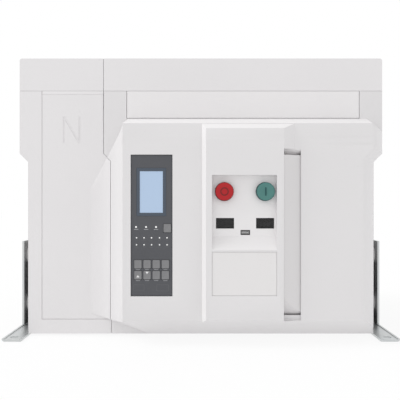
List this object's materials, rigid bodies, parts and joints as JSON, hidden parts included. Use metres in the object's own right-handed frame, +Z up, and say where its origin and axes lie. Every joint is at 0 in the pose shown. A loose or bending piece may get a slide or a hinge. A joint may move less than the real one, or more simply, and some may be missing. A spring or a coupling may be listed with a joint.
{
  "type": "air circuit breaker",
  "caption": "Fixed-mounted low-voltage air circuit breaker with trip unit, push buttons, charging handle, stored-energy mechanism and rear busbar terminals on turned-in feet.",
  "frame": {"origin": "centre of the four foot holes, on the underside of the feet", "axes": "+X to the right across the poles, +Y to the back, +Z up; the front with the buttons faces -Y"},
  "size_m": [0.5634, 0.36, 0.402],
  "materials": {
    "moulded_grey": "fine-textured light grey moulded polyester",
    "moulded_base": "light grey glass-filled polyester moulding",
    "zinc_steel": "bright zinc-plated sheet steel",
    "zinc_bolts": "zinc-plated steel fasteners",
    "bare_copper": "bare copper with silvered contact faces",
    "tinned_copper": "tin-plated copper bar",
    "black_moulding": "black moulded plastic",
    "chute_steel": "copper-flashed steel splitter plates",
    "chute_insulation": "arc-proof insulating moulding",
    "shaft_steel": "machined steel",
    "frame_steel": "zinc-plated pressed steel",
    "spring_steel": "oiled spring wire",
    "handle_grey": "grey moulded nylon",
    "motor_grey": "dark grey painted gearmotor",
    "coil_yoke": "steel yokes round wound coils",
    "indicator_black": "matt black drum",
    "counter_black": "black counter housing",
    "button_red": "satin red moulded plastic",
    "button_green": "satin green moulded plastic",
    "label_white": "bare off-white label",
    "trip_dark": "dark grey trip unit plastic",
    "display_blue": "pale blue display under a clear window",
    "key_grey": "mid grey rubber keys"
  },
  "bodies": {
    "base": {"arc_chute_1": "chute_insulation", "arc_chute_2": "chute_insulation", "arc_chute_3": "chute_insulation", "arc_chute_n": "chute_insulation", "auxiliary_switch": "black_moulding", "bracket_bolts": "zinc_bolts", "bracket_left": "zinc_steel", "bracket_right": "zinc_steel", "charging_motor": "motor_grey", "closing_spring": "spring_steel", "contact_housing": "moulded_base", "cover_screws": "zinc_bolts", "current_transformers": "black_moulding", "display_window": "display_blue", "flexible_links": "bare_copper", "front_cover": "moulded_grey", "label_plate": "label_white", "lower_terminal_1": "tinned_copper", "lower_terminal_2": "tinned_copper", "lower_terminal_3": "tinned_copper", "lower_terminal_n": "tinned_copper", "mechanism_frame": "frame_steel", "neutral_cover": "moulded_grey", "neutral_top_cover": "moulded_grey", "operations_counter": "counter_black", "rear_base": "moulded_base", "release_coils": "coil_yoke", "secondary_terminals": "black_moulding", "splitter_plates": "chute_steel", "terminal_cover": "moulded_grey", "top_cover": "moulded_grey", "trip_unit_case": "trip_dark", "trip_unit_panel": "trip_dark", "upper_terminal_1": "tinned_copper", "upper_terminal_2": "tinned_copper", "upper_terminal_3": "tinned_copper", "upper_terminal_n": "tinned_copper"},
    "off_button": {"off_button": "button_red"},
    "on_button": {"on_button": "button_green"},
    "charging_handle": {"charging_handle": "handle_grey"},
    "charging_shaft": {"charging_shaft": "shaft_steel"},
    "main_shaft": {"main_shaft": "shaft_steel"},
    "drive_links": {"drive_links": "shaft_steel"},
    "moving_contacts": {"moving_contact_n": "bare_copper", "moving_contact_1": "bare_copper", "moving_contact_2": "bare_copper", "moving_contact_3": "bare_copper"},
    "state_indicator": {"state_indicator": "indicator_black"},
    "spring_indicator": {"spring_indicator": "indicator_black"},
    "key_1": {"key_1": "key_grey"},
    "key_2": {"key_2": "key_grey"},
    "key_3": {"key_3": "key_grey"},
    "key_4": {"key_4": "key_grey"},
    "key_5": {"key_5": "key_grey"},
    "key_6": {"key_6": "key_grey"},
    "key_7": {"key_7": "key_grey"},
    "key_8": {"key_8": "key_grey"},
    "key_9": {"key_9": "key_grey"}
  },
  "joints": [
    {"name": "off_button_push", "type": "slide", "parent": "base", "child": "off_button", "axis": [0, 1, 0], "range_m": [0, 0.005], "stiffness_N_per_m": 600, "springref_m": -0.003},
    {"name": "on_button_push", "type": "slide", "parent": "base", "child": "on_button", "axis": [0, 1, 0], "range_m": [0, 0.005], "stiffness_N_per_m": 600, "springref_m": -0.003},
    {"name": "charging_handle_pull", "type": "hinge", "parent": "base", "child": "charging_handle", "pos_m": [0.12245, -0.142, 0.072], "axis": [1, 0, 0], "range_deg": [0, 70], "stiffness_Nm_per_rad": 1.2, "springref_deg": -17.19},
    {"name": "charging_shaft_turn", "type": "hinge", "parent": "base", "child": "charging_shaft", "pos_m": [0.072, -0.142, 0.072], "axis": [-1, 0, 0], "range_deg": [0, 180]},
    {"name": "spring_indicator_turn", "type": "hinge", "parent": "base", "child": "spring_indicator", "pos_m": [0.0862, -0.141, 0.1654], "axis": [1, 0, 0], "range_deg": [0, 30]},
    {"name": "main_shaft_turn", "type": "hinge", "parent": "base", "child": "main_shaft", "pos_m": [0, -0.068, 0.16981], "axis": [-1, 0, 0], "range_deg": [0, 50], "stiffness_Nm_per_rad": 12, "springref_deg": -17.19},
    {"name": "drive_links_swing", "type": "hinge", "parent": "main_shaft", "child": "drive_links", "pos_m": [0, -0.07653, 0.18811], "axis": [1, 0, 0], "range_deg": [0, 50]},
    {"name": "moving_contacts_swing", "type": "hinge", "parent": "base", "child": "moving_contacts", "pos_m": [0, 0.03, 0.12], "axis": [-1, 0, 0], "range_deg": [0, 14]},
    {"name": "state_indicator_turn", "type": "hinge", "parent": "base", "child": "state_indicator", "pos_m": [0.0323, -0.141, 0.1654], "axis": [1, 0, 0], "range_deg": [0, 30]},
    {"name": "key_1_press", "type": "slide", "parent": "base", "child": "key_1", "axis": [0, 1, 0], "range_m": [0, 0.0008], "stiffness_N_per_m": 1500, "springref_m": -0.0003},
    {"name": "key_2_press", "type": "slide", "parent": "base", "child": "key_2", "axis": [0, 1, 0], "range_m": [0, 0.0008], "stiffness_N_per_m": 1500, "springref_m": -0.0003},
    {"name": "key_3_press", "type": "slide", "parent": "base", "child": "key_3", "axis": [0, 1, 0], "range_m": [0, 0.0008], "stiffness_N_per_m": 1500, "springref_m": -0.0003},
    {"name": "key_4_press", "type": "slide", "parent": "base", "child": "key_4", "axis": [0, 1, 0], "range_m": [0, 0.0008], "stiffness_N_per_m": 1500, "springref_m": -0.0003},
    {"name": "key_5_press", "type": "slide", "parent": "base", "child": "key_5", "axis": [0, 1, 0], "range_m": [0, 0.0008], "stiffness_N_per_m": 1500, "springref_m": -0.0003},
    {"name": "key_6_press", "type": "slide", "parent": "base", "child": "key_6", "axis": [0, 1, 0], "range_m": [0, 0.0008], "stiffness_N_per_m": 1500, "springref_m": -0.0003},
    {"name": "key_7_press", "type": "slide", "parent": "base", "child": "key_7", "axis": [0, 1, 0], "range_m": [0, 0.0008], "stiffness_N_per_m": 1500, "springref_m": -0.0003},
    {"name": "key_8_press", "type": "slide", "parent": "base", "child": "key_8", "axis": [0, 1, 0], "range_m": [0, 0.0008], "stiffness_N_per_m": 1500, "springref_m": -0.0003},
    {"name": "key_9_press", "type": "slide", "parent": "base", "child": "key_9", "axis": [0, 1, 0], "range_m": [0, 0.0008], "stiffness_N_per_m": 1500, "springref_m": -0.0003}
  ],
  "couplings": [
    {"joint": "spring_indicator_turn", "follows": "charging_shaft_turn", "ratio": 0.16667},
    {"joint": "drive_links_swing", "follows": "main_shaft_turn", "ratio": 1},
    {"joint": "moving_contacts_swing", "follows": "main_shaft_turn", "ratio": 0.28},
    {"joint": "state_indicator_turn", "follows": "main_shaft_turn", "ratio": 0.6}
  ]
}
